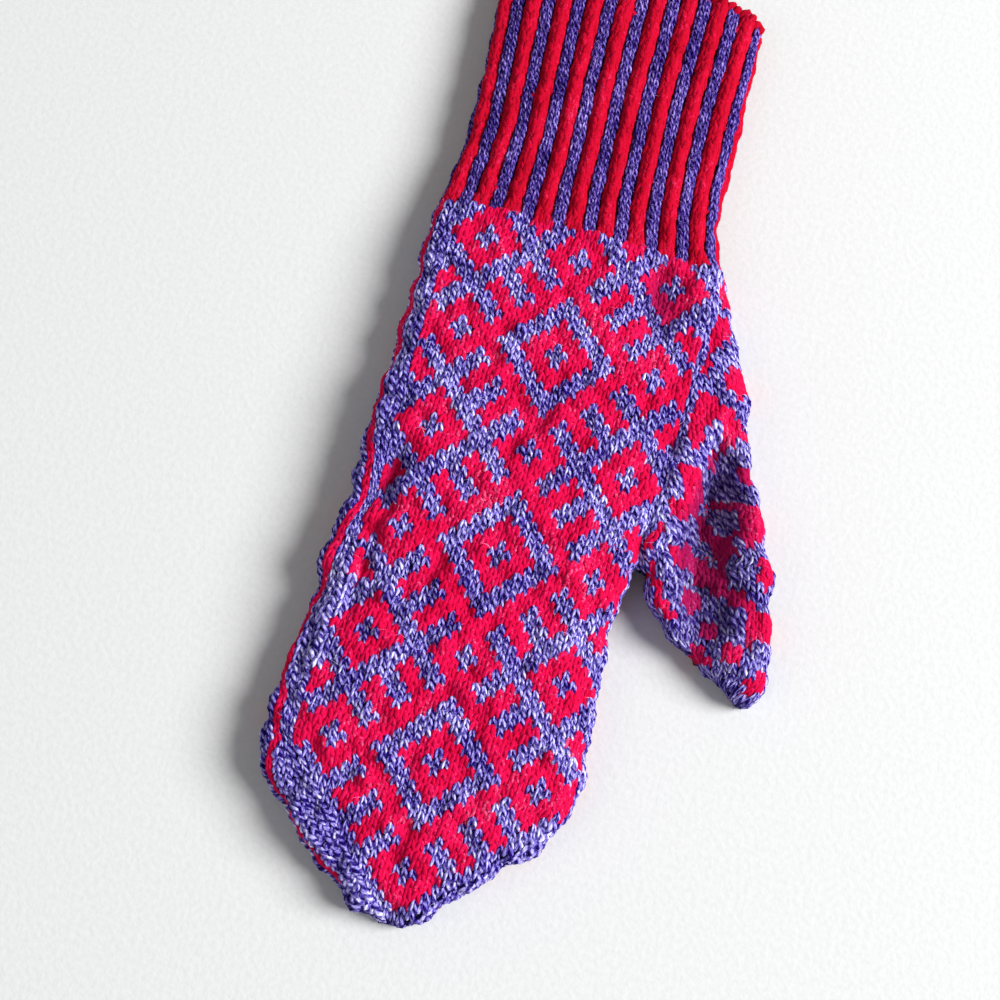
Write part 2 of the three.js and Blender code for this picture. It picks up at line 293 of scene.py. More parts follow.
# Dents and folds pressed into the upper side: centre, half length, half width to the left and to
# the right, depth, lean in degrees
DENTS = [
    (-35.0, -47.0, 10.0, 3.6, 3.4, 4.2, 0), (-39.5, -60.0, 7.0, 2.2, 2.2, 2.6, 0),
    (-35.2, -79.0, 12.0, 2.6, 2.6, 3.2, 0), (-44.0, -101.0, 12.0, 2.4, 3.0, 2.6, 0),
    (-35.5, -107.0, 6.0, 3.0, 3.0, 1.8, 0), (-22.0, -79.0, 5.0, 3.5, 3.5, 1.6, 0),
    (-14.0, -42.0, 6.0, 4.0, 4.0, 1.4, 30), (-3.5, -19.5, 10.0, 6.5, 6.5, 1.8, -20),
    (24.5, 25.0, 14.0, 5.0, 9.0, 6.0, 6), (54.0, -25.0, 13.0, 3.6, 10.0, 13.0, 0),
    (55.0, -42.0, 11.0, 6.5, 13.0, 10.0, 15), (60.0, -60.0, 15.0, 8.0, 14.0, 9.5, 20),
    (14.0, -77.0, 12.0, 9.0, 9.0, 1.2, 50),
]
# The upper side is pressed down no lower than this
DENT_FLOOR = 3.0
# Painted shade in the dents: dents of these depths get a little and the full painted shade, and how much
# darker it makes the colour
PAINTED_SHADE_DEPTHS = (0.8, 7.5)
PAINTED_SHADE_SHARE = 0.56

# Patches of the gusset's and thumb's pattern: centre, half width, half height and lean in degrees.
# The blue ones lie on the red ones
RED_PATCHES = [
    (44.0, 33.6, 2.8, 4.4, 28), (44.4, 20.6, 3.0, 5.6, 0), (42.9, 12.0, 1.6, 5.4, 0),
    (53.6, 7.2, 3.8, 5.2, 30), (45.4, -7.0, 2.8, 8.6, 5), (51.5, -4.6, 9.6, 3.0, -27),
    (54.6, -10.4, 2.6, 3.4, 0), (52.6, -15.2, 1.8, 3.6, 0), (62.3, -18.6, 1.9, 2.8, 20),
    (47.0, -28.6, 4.9, 7.8, 0), (41.8, -43.6, 1.5, 4.6, -8), (59.6, -28.0, 4.6, 1.6, -12),
    (67.0, -32.0, 4.2, 5.8, 15), (59.4, -38.0, 7.4, 2.4, -38), (63.2, -43.5, 2.2, 5.5, 0),
    (56.5, -48.0, 9.2, 3.0, -12), (50.6, -47.0, 2.4, 3.8, 0), (74.8, -45.6, 2.0, 3.8, 10),
    (68.5, -54.5, 9.5, 2.3, -28), (78.0, -60.6, 3.8, 3.6, -10), (74.8, -65.0, 1.6, 3.2, 35),
    (57.6, -57.5, 2.0, 4.8, 0), (54.0, -57.6, 2.0, 1.5, 0), (64.2, -64.6, 2.3, 2.4, 0),
    (71.6, -69.8, 2.8, 3.2, 0), (79.6, -75.8, 2.2, 3.0, 0), (45.6, -56.8, 1.1, 5.2, 25),
    (50.8, -62.4, 1.2, 3.4, 45), (62.8, -72.2, 3.6, 1.5, -30),
]
BLUE_PATCHES = [
    (44.2, -28.4, 2.1, 3.2, 0), (60.5, -33.2, 3.2, 4.2, 15), (50.4, -10.4, 1.4, 3.2, 0),
    (68.6, -46.2, 3.8, 5.2, 25), (64.0, -57.4, 2.8, 3.8, 15), (71.6, -61.0, 2.4, 4.8, 10),
    (54.5, -52.6, 3.2, 2.6, 0),
]
PATCH_LIMIT = 1.15

# How far the front panel's knit is pulled aside and down near the diamonds' centres, in mm: a line
# for each of the rows, with a value for each of the columns
PULL_ROWS = np.arange(-12, 49, 12)
PULL_COLUMNS = (-12, 0, 12)
PULLS_ASIDE = np.array([
    (1.3, -1.3, -3.2), (1.8, 0.2, -1.5), (1.8, 1.0, -1.2),
    (-0.3, 0.9, -0.2), (-0.8, -0.9, -2.5), (-0.7, -0.2, -0.8),
])
PULLS_DOWN = np.array([
    (1.1, 3.0, -1.3), (-0.7, 1.6, 0.1), (0.9, 0.4, 0.4),
    (-0.2, 1.3, 1.0), (1.5, 1.3, 0.1), (-0.2, -0.6, -0.3),
])
PULL_REACH = 7.5
PULL_CALM = 0.12
# Columns and rows between which the pulls fade
PULL_FADE_COLUMNS = (17, 26)
PULL_FADE_ROWS = (-16, -11)


def smoothstep(value, low, high):
    part = np.clip((value - low) / (high - low), 0, 1)
    return part * part * (3 - 2 * part)


def smoothed(values, reach, closed=False):
    """Values softened along their first axis: as a ring, or else with both ends kept in place."""
    span = int(reach * SMOOTH_SPAN)
    kernel = np.exp(-0.5 * (np.arange(-span, span + 1) / reach) ** 2)
    kernel /= kernel.sum()
    if closed:
        before, after = values[-span:], values[:span]
    else:
        before = 2 * values[0] - values[span:0:-1]
        after = 2 * values[-1] - values[-2:-span - 2:-1]
    padded = np.concatenate([before, values, after])
    return sum(weight * padded[k:k + len(values)] for k, weight in enumerate(kernel))


def unit(vectors):
    return vectors / np.maximum(np.linalg.norm(vectors, axis=-1, keepdims=True), LEAST_LENGTH)


def full_rows(short_table):
    """Rows (left x, left y, right x, right y, top) of a table (y, left, right, top)."""
    return np.array([(left, y, right, y, top) for y, left, right, top in short_table])


CUFF_SECTIONS = full_rows(CUFF_TABLE)
HAND_SECTIONS = full_rows(HAND_TABLE)


def section_at(sections, down):
    """The section of a table at a distance down, moved straight on beyond the table's ends."""
    levels = -(sections[:, 1] + sections[:, 3]) / 2
    section = np.array([np.interp(down, levels, column) for column in sections.T])
    beyond = down - np.clip(down, levels[0], levels[-1])
    section[[1, 3]] -= beyond
    return section


def outline(sections, down, top_power=HAND_TOP_POWER):
    """Closed outline of a tube at a distance down, half a strand inside its section."""
    section = section_at(sections, down)
    left, top = section[0:2], section[4]
    reach = section[2:4] - left
    width = np.hypot(*reach)
    direction = reach / width
    centre = left + reach / 2
    half = max(width / 2 - YARN_DEPTH, LEAST_HALF_WIDTH)
    side = top * SIDE_LEVEL
    angle = math.pi * (1 - 2 * np.arange(OUTLINE_POINTS) / OUTLINE_POINTS)
    across, upward = np.cos(angle), np.sin(angle)
    power = 2 / np.where(upward >= 0, top_power, BOTTOM_POWER)
    offset = half * np.sign(across) * np.abs(across) ** power
    lift = np.abs(upward) ** power
    domed = side + (top - YARN_DEPTH - side) * lift
    pressed = np.maximum(YARN_DEPTH, side - (side - YARN_DEPTH) * BOTTOM_PRESS * lift)
    ring = np.empty((OUTLINE_POINTS, 3))
    ring[:, :2] = centre + offset[:, None] * direction
    ring[:, 2] = np.where(upward >= 0, domed, pressed)
    return ring


def joined(hand, gusset):
    """Outline of the hand together with the gusset that swells from its right side."""
    half = OUTLINE_POINTS // 2
    if gusset[half, 0] <= hand[half, 0] + GUSSET_MARGIN:
        return hand
    xs = np.linspace(gusset[0, 0] + JOIN_INSET, hand[half, 0], JOIN_SAMPLES)

    def heights(line):
        return np.interp(xs, line[:, 0], line[:, 2])

    hand_top, hand_low = hand[:half + 1], hand[half:]
    gusset_top, gusset_low = gusset[:half + 1], gusset[half:]
    cross_top = xs[np.argmax(heights(gusset_top) >= heights(hand_top))]
    cross_low = xs[np.argmax(heights(gusset_low[::-1]) <= heights(hand_low[::-1]))]
    return np.concatenate([
        hand_top[hand_top[:, 0] < cross_top],
        gusset_top[gusset_top[:, 0] > cross_top],
        gusset_low[gusset_low[:, 0] > cross_low],
        hand_low[hand_low[:, 0] < cross_low],
    ])


def evenly(ring, count=ROUND_POINTS):
    """The ring as evenly spaced points, and the whole way round it."""
    closed = np.vstack([ring, ring[:1]])
    run = np.concatenate([[0], np.cumsum(np.linalg.norm(np.diff(closed, axis=0), axis=1))])
    steps = np.arange(count) * run[-1] / count
    points = np.stack([np.interp(steps, run, column) for column in closed.T], axis=1)
    return points, run[-1]


def leaning(x, y, centre_x, centre_y, lean_degrees):
    """Distances of points across and along a mark that leans to one side."""
    lean = math.radians(lean_degrees)
    dx, dy = x - centre_x, y - centre_y
    across = dx * math.cos(lean) + dy * math.sin(lean)
    along = dy * math.cos(lean) - dx * math.sin(lean)
    return across, along


def dent_depth(points):
    """How deep the dents press the upper side at these points."""
    x, y = points[..., 0], points[..., 1]
    depth = np.zeros_like(x)
    for centre_x, centre_y, long, left, right, deep, lean in DENTS:
        across, along = leaning(x, y, centre_x, centre_y, lean)
        across = across / np.where(across > 0, right, left)
        depth += deep * np.exp(-(along / long) ** 2 - across ** 2)
    return depth


def fold_shade(points, normals):
    """How much painted shade darkens the knit in the dents of the upper side, from 0 to 1."""
    return smoothstep(dent_depth(points), *PAINTED_SHADE_DEPTHS) * (normals[..., 2] > 0)


def wave_table():
    """Direction and phase of each wave of the uneven tension."""
    picks = np.random.default_rng(WAVE_SEED)
    angle = picks.uniform(0, math.pi, WAVE_COUNT)
    length = picks.uniform(WAVE_SHORTEST, WAVE_LONGEST, WAVE_COUNT)
    upward = picks.uniform(-WAVE_TILT, WAVE_TILT, WAVE_COUNT)
    direction = np.stack([np.cos(angle), np.sin(angle), upward]) * TURN / length
    return direction, picks.uniform(0, TURN, WAVE_COUNT)


WAVES, WAVE_PHASES = wave_table()


class Tube:
    """A knit tube as a grid of points, one line of even points for each fine step down."""

    def __init__(self, start, stop, ring_at, soften, relief=None):
        count = int(round((stop - start) / LEVEL_STEP)) + 1
        self.downs = np.linspace(start, stop, count)
        points = np.array([evenly(ring_at(down))[0] for down in self.downs])
        points = smoothed(points, soften / LEVEL_STEP)
        rings, rounds = zip(*(evenly(ring) for ring in points))
        points, self.round = np.array(rings), np.array(rounds)
        half = ROUND_POINTS // 2
        steps = np.arange(half) / ROUND_POINTS
        self.middle = self.round * [np.interp(CENTRE_X, ring[:half, 0], steps) for ring in points]
        self.side = self.round * np.argmax(points[:, :, 0], axis=1) / ROUND_POINTS
        self.side = smoothed(self.side, SIDE_SOFTNESS / LEVEL_STEP)
        top = points[:, :, 2].max(axis=1)[:, None]
        raised = smoothstep(points[..., 2], top * SIDE_LEVEL, top)
        pressed = points[..., 2] - dent_depth(points) * raised
        points[..., 2] = np.maximum(pressed, np.minimum(points[..., 2], DENT_FLOOR))
        lift = WAVE_HEIGHT * np.sin(points @ WAVES + WAVE_PHASES).sum(axis=-1)[..., None]
        if relief:
            lift = lift * RIB_WAVE_SHARE + relief(self, points)
        self.set_points(points + lift * self.outward(points))

    def set_points(self, points):
        self.points = points
        self.normals = self.outward(points)
        self.grid = np.concatenate([self.points, self.normals], axis=2)

    def outward(self, points):
        along = np.roll(points, -1, axis=1) - np.roll(points, 1, axis=1)
        return unit(np.cross(np.gradient(points, axis=0), along))

    def value(self, name, down):
        return np.interp(down, self.downs, getattr(self, name))

    def level(self, down):
        """Place of a distance down among the tube's fine steps."""
        return np.interp(down, self.downs, np.arange(len(self.downs)))

    def at(self, distance, down):
        """Point and outward direction at a distance round and a distance down."""
        level = self.level(down)
        low = np.minimum(level.astype(int), len(self.downs) - 2)
        mix = (level - low)[..., None]
        place = (distance / self.value("round", down)) % 1.0 * ROUND_POINTS
        left = np.floor(place).astype(int) % ROUND_POINTS
        right = (left + 1) % ROUND_POINTS
        part = (place - np.floor(place))[..., None]
        upper = self.grid[low, left] * (1 - part) + self.grid[low, right] * part
        lower = self.grid[low + 1, left] * (1 - part) + self.grid[low + 1, right] * part
        both = upper * (1 - mix) + lower * mix
        return both[..., :3], unit(both[..., 3:])


def crest_distances(points, rounds):
    """Distance round of every rib's crest: the upper ones evenly from left to right as seen from
    above, the others evenly round the under side. The first one is repeated at the end."""
    half = ROUND_POINTS // 2
    steps = np.arange(half) / ROUND_POINTS
    levels, *edges = CREST_TABLE.T
    lines = []
    for ring, whole in zip(points, rounds):
        first, last = (np.interp(-ring[half // 2, 1], -levels, edge) for edge in edges)
        top = np.interp(np.linspace(first, last, TOP_RIBS), ring[:half, 0], steps) * whole
        low = np.linspace(top[-1], top[0] + whole, RIB_COUNT - TOP_RIBS + 2)
        lines.append(np.concatenate([top, low[1:]]))
    return np.array(lines)


def rib_relief(tube, points):
    """Height of the ribs above the tube: rounded cords with a groove between each two."""
    tube.crests = crest_distances(points, tube.round)
    relief = []
    for crests, whole in zip(tube.crests, tube.round):
        distance = np.arange(ROUND_POINTS) / ROUND_POINTS * whole
        distance = np.where(distance < crests[0], distance + whole, distance)
        from_crest = np.interp(distance, crests, np.arange(RIB_COUNT + 1))
        height = RIB_HEIGHT * (np.abs(np.cos(np.pi * from_crest)) ** RIB_POWER - 1)
        blue = np.rint(from_crest) % 2 == 1
        off_crest = (from_crest - np.rint(from_crest)) / BLUE_DIMPLE_WIDTH
        relief.append(height - blue * (BLUE_DIMPLE * np.exp(-off_crest ** 2) + BLUE_RIB_DROP))
    fade = 1 - smoothstep(tube.downs, -RIB_FADE_START, -CUFF_END)
    return (np.array(relief) * fade[:, None])[..., None]


def cuff_ring(down):
    """Outline of the cuff, which is rounder than the hand and takes on its shape near it."""
    part = smoothstep(down, -RIB_FADE_START - CUFF_POWER_FADE, -CUFF_END)
    power = CUFF_TOP_POWER + (HAND_TOP_POWER - CUFF_TOP_POWER) * part
    return outline(CUFF_SECTIONS, down, power)


def cuff_tube():
    """The cuff, whose open end lies lower at the two sides."""
    tube = Tube(*CUFF_DOWNS, cuff_ring, CUFF_SOFTNESS, rib_relief)
    x, y = tube.points[..., 0], tube.points[..., 1]
    sideways = np.abs((x - DROOP_MIDDLE) / DROOP_REACH) ** DROOP_POWER
    y -= END_DROOP * smoothstep(y, DROOP_FADE_START, CUFF_TOP) * sideways
    tube.set_points(tube.points)
    return tube


def palm_ring(down):
    hand = outline(HAND_SECTIONS, down)
    if down < -GUSSET_SECTIONS[0, 1]:
        return hand
    ring, _ = evenly(joined(hand, outline(GUSSET_SECTIONS, down)), OUTLINE_POINTS)
    return smoothed(ring, JOIN_SOFTNESS, closed=True)


def palm_tube():
    """The hand from the cuff to the place where the thumb leaves it."""
    return Tube(-HAND_TOP, PALM_END, palm_ring, PALM_SOFTNESS)


def end_tube(sections, softness):
    """The hand or the thumb from the thumb's root to the last section."""
    end = -(sections[-1, 1] + sections[-1, 3]) / 2
    return Tube(FINGER_START, end, lambda down: outline(sections, down), softness)


def pulled(column, down):
    """Moves aside and down of the front panel's stitches, which fade out beyond its sides."""
    row = down / ROW_PITCH
    weights = [
        np.exp(-((column - middle) ** 2 + (row - level) ** 2) / (2 * PULL_REACH ** 2))
        for level in PULL_ROWS
        for middle in PULL_COLUMNS
    ]
    total = sum(weights) + PULL_CALM
    fade = 1 - smoothstep(np.abs(column), *PULL_FADE_COLUMNS)
    aside, lower = (
        sum(weight * move for weight, move in zip(weights, moves.ravel())) / total * fade
        for moves in (PULLS_ASIDE, PULLS_DOWN)
    )
    return aside, lower * smoothstep(row, *PULL_FADE_ROWS)


class Stitches:
    """Stitches of one tube: their columns, distances down and colours, and where columns run."""

    def __init__(self, tube, place, column, down, red, pitch=ROW_PITCH, width=1.0, drift=0.0,
                 pull=False, plumpness=1.0):
        self.tube, self.place, self.pull, self.plumpness = tube, place, pull, plumpness
        self.own = np.broadcast_arrays(column, down, red, pitch, width, drift)
        self.column, self.down, self.red, self.pitch, self.width, self.drift = self.own

    def keep(self, mask):
        own = [array[mask] for array in self.own]
        return Stitches(self.tube, self.place, *own, self.pull, self.plumpness)

    def at(self, column, down):
        """Points and outward directions of places given by column and distance down."""
        distance = self.place(column, down)
        if not self.pull:
            return self.tube.at(distance, down)
        aside, lower = pulled(column, down)
        return self.tube.at(distance + aside, down + lower)


def stitch_grid(columns, rows):
    """Column and row of every stitch of a field."""
    return (grid.ravel().astype(float) for grid in np.meshgrid(columns, rows))


def between(value, limits):
    return (value >= limits[0]) & (value <= limits[1])


def chart_is_red(column, row):
    """The diamond pattern, in whole stitches from the centre of a large diamond."""
    rising, falling = column + row, column - row
    rising_cell, falling_cell = np.rint(rising / REPEAT), np.rint(falling / REPEAT)
    rising = np.abs(rising - rising_cell * REPEAT)
    falling = np.abs(falling - falling_cell * REPEAT)
    far, near = np.maximum(rising, falling), np.minimum(rising, falling)
    large = (rising_cell + falling_cell) % 2 == 0
    ring = between(far, INNER_RING) | (large & between(far, OUTER_RING))
    bars = between(near, INNER_RING) | between(near, OUTER_RING)
    return np.where(far <= np.where(large, LARGE_REACH, SMALL_REACH), ring, bars)


def panel_column(column):
    """Column numbers counted from the nearer panel's centre, front or back."""
    return np.where(column < -BAND_END, column + HAND_STITCHES / 2, column)


def hand_is_red(column, row):
    """Front and back panels carry the chart, the bands between them one red column."""
    own = panel_column(column)
    line = (np.abs(column) == LINE_COLUMN) | (column == BACK_LINE_COLUMN)
    last_diamond = np.abs(own) + row <= LAST_DIAMOND_ROW
    charted = chart_is_red(own, row) & ((row < LAST_DIAMOND_START) | last_diamond)
    return np.where(np.abs(own) <= PANEL_HALF, charted, line)


def patch_is_red(x, y):
    """The pattern of the gusset and the thumb."""
    red = np.zeros(x.shape, bool)
    for patches, is_red in ((RED_PATCHES, True), (BLUE_PATCHES, False)):
        for centre_x, centre_y, wide, high, lean in patches:
            across, along = leaning(x, y, centre_x, centre_y, lean)
            red[(across / wide) ** 2 + (along / high) ** 2 <= PATCH_LIMIT] = is_red
    return red


PITCH_DOWNS = np.arange(-44, 130, 6.0)
HAND_PITCHES = np.array([
    evenly(outline(HAND_SECTIONS, down))[1] for down in PITCH_DOWNS
]) / HAND_STITCHES


def hand_pitch(down):
    """Width of a stitch of the hand at a distance down."""
    return np.interp(down, PITCH_DOWNS, HAND_PITCHES)


def tightened(number):
    """Column numbers for placing: the panels lie a little tighter than the bands beside them."""
    marks = np.array([-FAR_COLUMN, -BAND_END, -PANEL_HALF, PANEL_HALF, BAND_END, FAR_COLUMN])
    return np.interp(number, marks, marks * [1, 1, TIGHTNESS, TIGHTNESS, 1, 1])


def cuff_stitches(tube):
    columns = np.arange(2 * RIB_COUNT).reshape(-1, 2).T
    column, row = stitch_grid(columns, np.arange(CUFF_ROWS))
    down = -CUFF_TOP + (row + 0.5) * CUFF_PITCH

    def place(number, at_down):
        rib = (number - 0.5) / 2
        fill = np.where(np.rint(rib) % 2 == 0, RED_RIB_FILL, BLUE_RIB_FILL)
        rib = np.rint(rib) + fill * (rib - np.rint(rib))
        rib = rib % RIB_COUNT
        level = np.rint(tube.level(at_down)).astype(int)
        before = np.floor(rib).astype(int)
        start, stop = tube.crests[level, before], tube.crests[level, before + 1]
        return start + (rib - before) * (stop - start)

    return Stitches(tube, place, column, down, (column // 2) % 2 == 0, CUFF_PITCH)


def panel_stitches(tube, place, column, row):
    """Stitches of the hand, coloured by the chart."""
    return Stitches(tube, place, column, row * ROW_PITCH, hand_is_red(column, row), pull=True)


def palm_stitches(tube):
    """Hand columns of the rows up to the thumb, all of them round the hand without gusset."""
    def place(number, at_down):
        plain = tube.value("middle", at_down) + tightened(number) * hand_pitch(at_down)
        return plain + line_shift(number, at_down)

    rows = np.arange(FIRST_ROW, THUMB_START_ROW + 1)
    return panel_stitches(tube, place, *stitch_grid(HAND_COLUMNS, rows))


def patched_stitches(tube, place, column, down):
    """Stitches of the gusset or the thumb, coloured by the patches that they lie in."""
    point, _ = tube.at(place(column, down), down)
    return Stitches(tube, place, column, down, patch_is_red(point[:, 0], point[:, 1]))


def side_place(tube):
    """Where columns counted from a tube's outer edge run."""
    return lambda number, at_down: tube.value("side", at_down) + number * THUMB_STITCH


def gusset_stitches(tube):
    """Gusset columns, counted from the outer edge towards the hand on both sides."""
    rows = np.arange(FIRST_ROW, THUMB_START_ROW + 1)
    column, row = stitch_grid(GUSSET_COLUMNS, rows)
    down = row * ROW_PITCH
    place = side_place(tube)
    distance = place(column, down)
    before, after = LAST_COLUMN + 0.5, FIRST_COLUMN - 0.5
    aside, _ = pulled(before, down)
    middle, pitch = tube.value("middle", down), hand_pitch(down)
    start = middle + tightened(before) * pitch + aside - GUSSET_OVERLAP
    stop = tube.value("round", down) + middle + after * pitch + GUSSET_OVERLAP
    inside = (distance > start) & (distance < stop)
    return patched_stitches(tube, place, column[inside], down[inside])


def tip_half(row):
    """Half the width of the pattern panel in stitches: it loses a stitch a row in the tip."""
    return PANEL_HALF - np.maximum(0, row - TIP_START_ROW)


def line_shift(number, at_down):
    """The left band's line lies further onto the upper side at some levels than at others."""
    shift = np.interp(at_down, LINE_SHIFTS[:, 0], LINE_SHIFTS[:, 1])
    in_band = (number < -PANEL_HALF) & (number > -BAND_END)
    return shift * in_band * np.clip((-PANEL_HALF - number) / LINE_SHIFT_STITCHES, 0, 1)


def finger_place(tube):
    """Where the straight columns of the fingers' part run."""
    half_round = HAND_STITCHES / 2

    def place(number, at_down):
        whole, middle = tube.value("round", at_down), tube.value("middle", at_down)
        in_tip = at_down / ROW_PITCH > TIP_START_ROW
        pitch = np.where(in_tip, TIP_PANEL_PITCH, whole / HAND_STITCHES)
        number = np.where(number < -half_round, number + HAND_STITCHES, number)
        back = middle + whole / 2 + (number - half_round) * pitch
        other_back = middle - whole / 2 + (number + half_round) * pitch
        front = middle + tightened(number) * pitch + line_shift(number, at_down)
        return np.select([number > BAND_END, number < -BAND_END], [back, other_back], front)

    return place


def finger_panels(tube):
    """Front and back panels beyond the thumb, and the bands between them up to the tip."""
    column, row = stitch_grid(HAND_COLUMNS, np.arange(THUMB_START_ROW + 1, LAST_ROW + 1))
    own = np.abs(panel_column(column))
    panel = own < np.minimum(tip_half(row) + TIP_PANEL_MARGIN, PANEL_HALF)
    inside = panel | ((own > PANEL_HALF) & (row <= TIP_START_ROW))
    return panel_stitches(tube, finger_place(tube), column[inside], row[inside])


def band_line(tube, side, at_down):
    """Distance round of the red line in the left (-1) or right (1) side band of the tip."""
    start_down = TIP_START_ROW * ROW_PITCH
    edge = tube.value("side", at_down) if side > 0 else 0.0
    start_edge = tube.value("side", start_down) if side > 0 else 0.0
    start = tube.value("middle", start_down) + side * tube.value("round", start_down) / 4
    shift = LINE_SHIFTS[-1, 1] if side < 0 else 0.0
    part = smoothstep(at_down, start_down, start_down + TIP_LINE_BEND)
    inset = (side * (start_edge - start) + shift) * (1 - part) + TIP_LINE_INSETS[side] * part
    return edge - side * inset


def band_limits(tube, side, at_down):
    """Distances round of a side band's red line and of the panels' edges above and below it."""
    middle, whole = tube.value("middle", at_down), tube.value("round", at_down)
    half = tip_half(at_down / ROW_PITCH)
    aside, _ = pulled(side * half, at_down)
    upper = middle + side * (tightened(half) * TIP_PANEL_PITCH - TIP_OVERLAP) + aside
    lower = middle + side * (whole / 2 - half * TIP_PANEL_PITCH)
    return band_line(tube, side, at_down), upper, lower


def edge_lean(side, down):
    """Cosine of the lean of the hand's left or right edge at a distance down."""
    xs = HAND_SECTIONS[:, 0 if side < 0 else 2]
    before, after = np.interp([down - LEAN_REACH, down + LEAN_REACH], -HAND_SECTIONS[:, 1], xs)
    return 2 * LEAN_REACH / math.hypot(2 * LEAN_REACH, after - before)


def tip_downs(tube, side):
    """Distances down of the rows of a side band, one stitch apart along the slanting edge."""
    downs = [TIP_FIRST_DOWN]
    while downs[-1] < tube.downs[-1] - TIP_END_GAP:
        downs.append(downs[-1] + TIP_ROW_PITCH * edge_lean(side, downs[-1]))
    return np.array(downs)


def tip_band(tube, side):
    """A side band of the tip: columns along the slanting edge that fill the space between the
    panels, counted in shares of the way from the red line to the panel on either face."""
    downs = tip_downs(tube, side)
    leans = np.array([edge_lean(side, down) for down in downs])
    count, level = np.meshgrid(np.arange(-TIP_COLUMNS, TIP_COLUMNS + 1), np.arange(len(downs)))
    down, lean = downs[level], leans[level]
    line, upper, lower = band_limits(tube, side, down)
    gap = np.abs(np.where(count >= 0, upper, lower) - line)
    columns = np.maximum(np.rint(gap * lean / TIP_STITCH - 0.5), 1) + 0.5
    drift = -np.sign(count) * TIP_DRIFT * TIP_ROW_PITCH * np.sqrt(1 - lean ** 2) / gap
    width = np.where(count == 0, TIP_LINE_WIDTH, 1) / columns
    inside = np.abs(count) < columns

    def place(share, at_down):
        line, upper, lower = band_limits(tube, side, at_down)
        return line + np.where(share > 0, share * (upper - line), share * (line - lower))

    red = (count == 0) & (down < TIP_LINE_ENDS[side] * ROW_PITCH)
    own = count / columns, down, red, TIP_ROW_PITCH * lean, width, drift
    return Stitches(tube, place, *own, plumpness=TIP_PLUMPNESS).keep(inside)


def thumb_stitches(tube):
    """Columns of the free thumb, counted from its outer edge on both sides."""
    rows = np.arange(THUMB_START_ROW + 1, int(tube.downs[-1] / ROW_PITCH) + 1)
    column, row = stitch_grid(THUMB_COLUMNS, rows)
    down = row * ROW_PITCH
    place = side_place(tube)
    distance = place(column, down)
    whole = tube.value("round", down)
    seam = np.maximum(whole - tube.value("side", down), 0) / 2
    inside = (distance > -seam) & (distance <= whole - seam)
    return patched_stitches(tube, place, column[inside], down[inside])


def legs_on_tube(stitches, leg, rng):
    """Points of both legs of every stitch on the tube, outward directions there, and heights."""
    count = len(stitches.column)
    down_steps, aside, height, _ = leg.T
    sides = np.array([-1.0, 1.0])[None, :, None]
    wobble = rng.normal(0, LEG_WOBBLE, (count, 2, 1)) + rng.normal(0, STITCH_WOBBLE, (count, 1, 1))
    aside = (sides * aside + wobble) * stitches.width[:, None, None]
    down_steps = down_steps + rng.normal(0, DOWN_WOBBLE, (count, 1, 1))
    column = stitches.column[:, None, None] + aside + stitches.drift[:, None, None] * down_steps
    down = stitches.down[:, None, None] + down_steps * stitches.pitch[:, None, None]
    point, normal = stitches.at(column, np.broadcast_to(down, column.shape))
    return point, normal, height + rng.normal(0, HEIGHT_WOBBLE, (count, 2, 1))


def leg_fit(centre, along):
    """How much wider the legs of every stitch stand apart than those of a normal stitch."""
    apart = centre[:, 1, 2] - centre[:, 0, 2]
    line = along[:, 0, 2]
    apart = apart - (apart * line).sum(axis=-1, keepdims=True) * line
    return np.clip(np.linalg.norm(apart, axis=-1) / LEG_SPACING, *LEG_FIT_LIMITS)


def rings_round(centre, size, up, side, angles, flatness=1.0):
    """Rings of points round the points of some lines."""
    cosine, sine = np.cos(angles)[:, None], np.sin(angles)[:, None]
    spread = cosine * flatness * up[..., None, :] + sine * side[..., None, :]
    return centre[..., None, :] + size[..., None, None] * spread


def yarn_mesh(name, stitches, leg, radius, flatness, rng):
    """Two half-round strands for each stitch, joined in one mesh."""
    point, normal, height = legs_on_tube(stitches, leg, rng)
    centre = point + normal * height[..., None]
    along = unit(np.gradient(centre, axis=2))
    beside = unit(np.cross(along, normal))
    outward = np.cross(beside, along)
    size = radius * stitches.plumpness * leg_fit(centre, along)[:, None, None] * leg[:, 3]
    size = size * (1 + rng.normal(0, THICKNESS_WOBBLE, (len(centre), 2, 1)))
    points = rings_round(centre, size, outward, beside, LEG_RING_ANGLES, flatness)
    points = points.reshape(-1, *points.shape[2:])
    middle = len(leg) // 2
    # Painted shade of the dents, one value for each leg
    fold = fold_shade(point[:, :, middle], normal[:, :, middle]).ravel()
    return strand_mesh(name, points, STRAND_FLOOR, strand=rng.random(len(points)), fold=fold)


